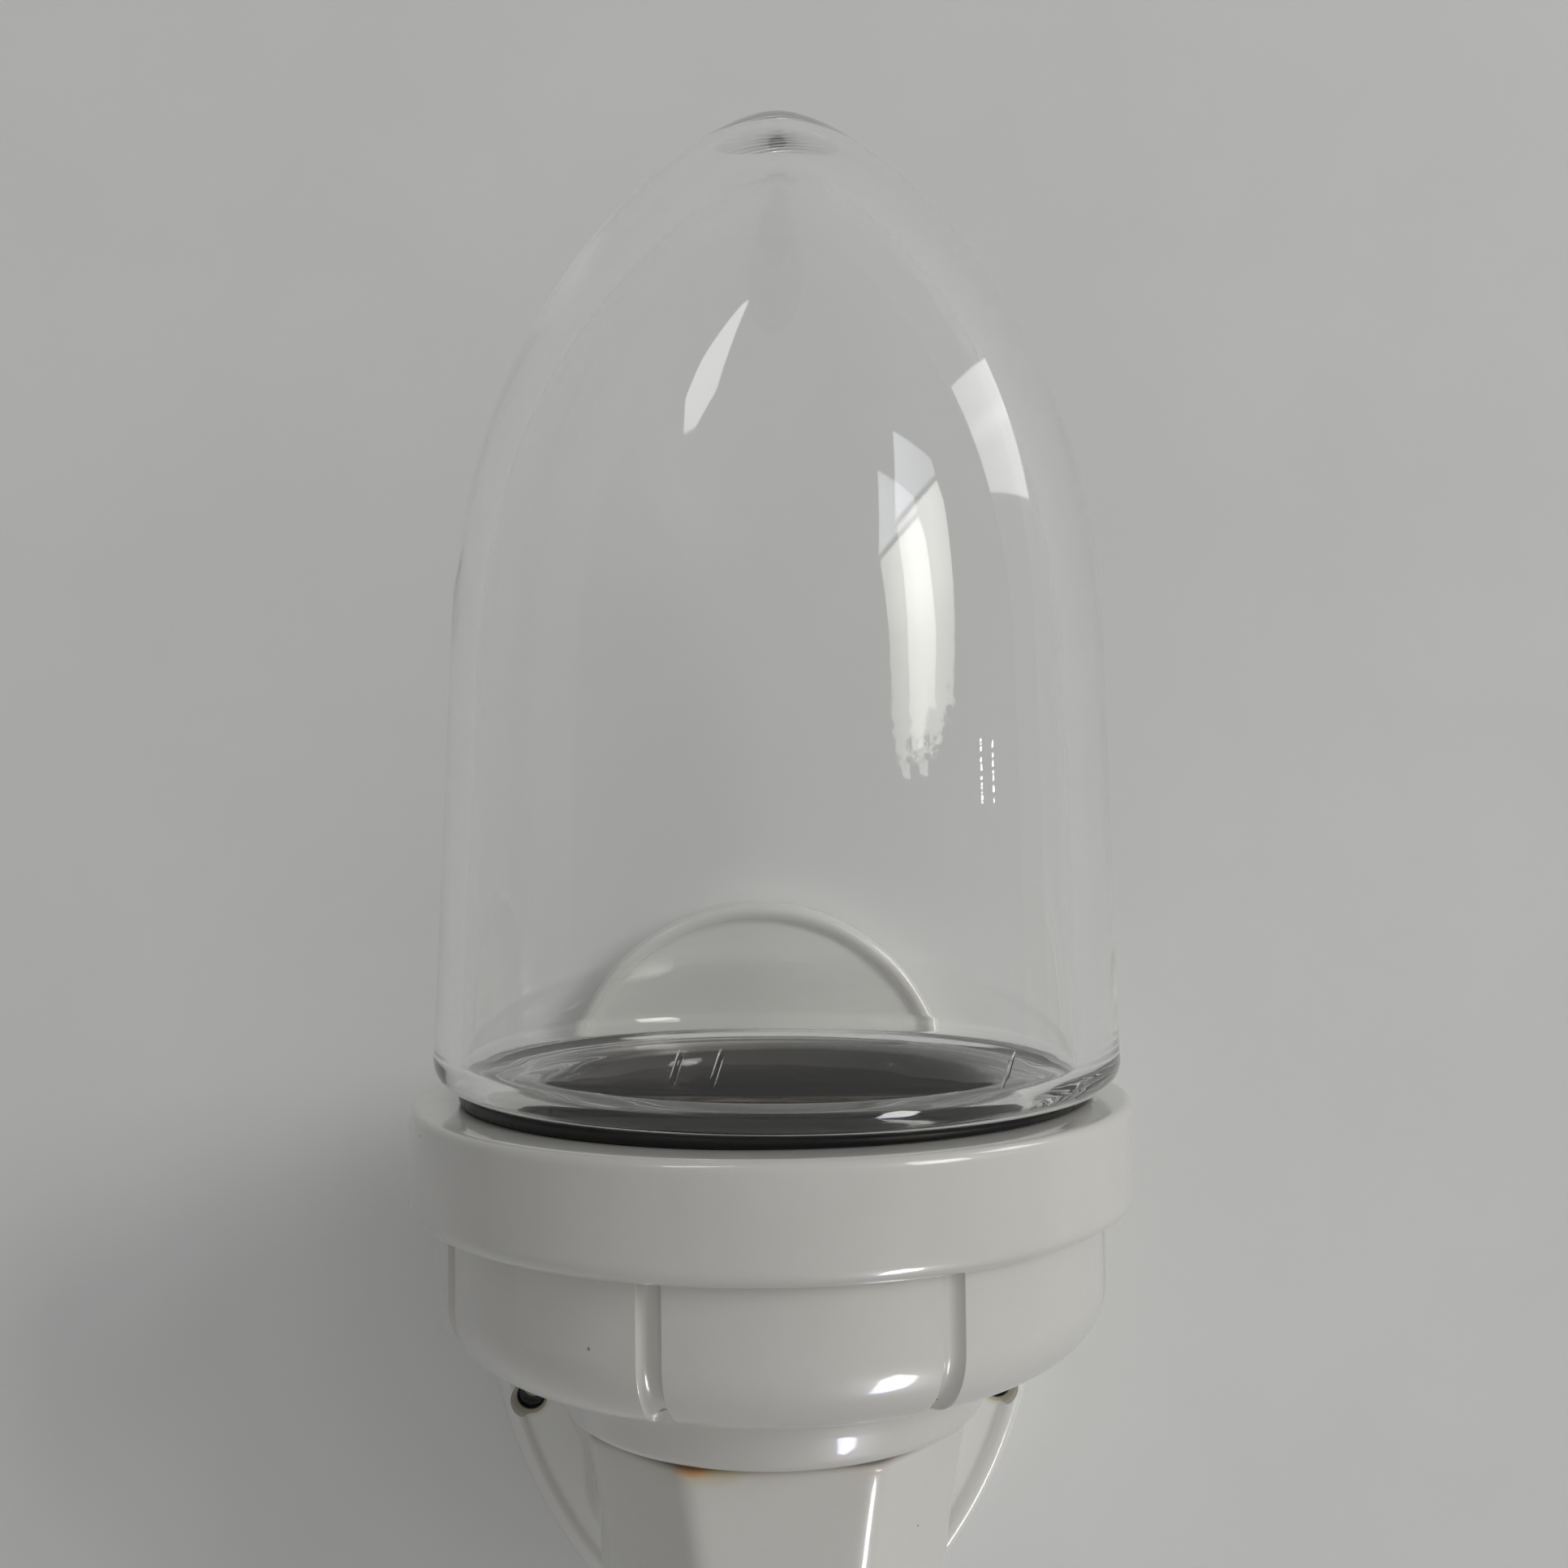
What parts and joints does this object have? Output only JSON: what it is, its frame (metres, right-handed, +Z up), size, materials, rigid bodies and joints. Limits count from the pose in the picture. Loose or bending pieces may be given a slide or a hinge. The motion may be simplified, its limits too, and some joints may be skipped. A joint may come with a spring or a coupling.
{
  "type": "bracket wall light",
  "caption": "Porcelain bracket wall light: oval wall plate, octagonal arm, fluted cup with a recessed lampholder, and a clear screw-in glass dome on a black rubber seal.",
  "frame": {"origin": "centre of the wall plate's back face", "axes": "+Z up along the lamp's axis, +X to the right seen from the room, the lamp stands out from the wall towards -Y"},
  "size_m": [0.105, 0.1265, 0.2611],
  "materials": {
    "porcelain": "glossy off-white glaze",
    "clear_glass": "clear, polished",
    "black_rubber": "smooth black",
    "gasket_rubber": "matt, aged",
    "rusted_steel": "rusted steel",
    "plated_steel": "dull zinc plating",
    "brass": "satin",
    "holder_ceramic": "unglazed cream ceramic",
    "dark_phenolic": "dark brown-black, satin",
    "brown_insulation": "matt",
    "blue_insulation": "matt"
  },
  "bodies": {
    "bracket": {"wall_plate_and_arm": "porcelain", "cup": "porcelain", "joint_gasket": "gasket_rubber", "tie_tube": "rusted_steel", "upper_tie_nut": "rusted_steel", "upper_tie_washer": "plated_steel", "lower_tie_nut": "rusted_steel", "lower_tie_washer": "plated_steel", "holder_body": "dark_phenolic", "screw_shell": "brass", "centre_contact": "brass", "shell_contact": "brass", "live_terminal": "brass", "neutral_terminal": "brass", "terminal_screws": "plated_steel", "holder_screws": "plated_steel", "holder_nuts": "rusted_steel", "live_lead": "brown_insulation", "neutral_lead": "blue_insulation", "terminal_block": "holder_ceramic", "block_sleeves": "brass", "block_wire_screws": "plated_steel", "block_fixing_screw": "plated_steel"},
    "seal": {"rubber_seal": "black_rubber"},
    "glass": {"glass_dome": "clear_glass"}
  },
  "joints": [
    {"name": "glass_rise", "type": "slide", "parent": "bracket", "child": "seal", "axis": [0, 0, 1], "range_m": [0, 0.01201]},
    {"name": "glass_turn", "type": "hinge", "parent": "seal", "child": "glass", "pos_m": [0, -0.074, 0.05], "axis": [0, 0, 1], "range_deg": [0, 720]}
  ],
  "couplings": [
    {"joint": "glass_rise", "follows": "glass_turn", "m_per_rad": 0.00095493}
  ]
}
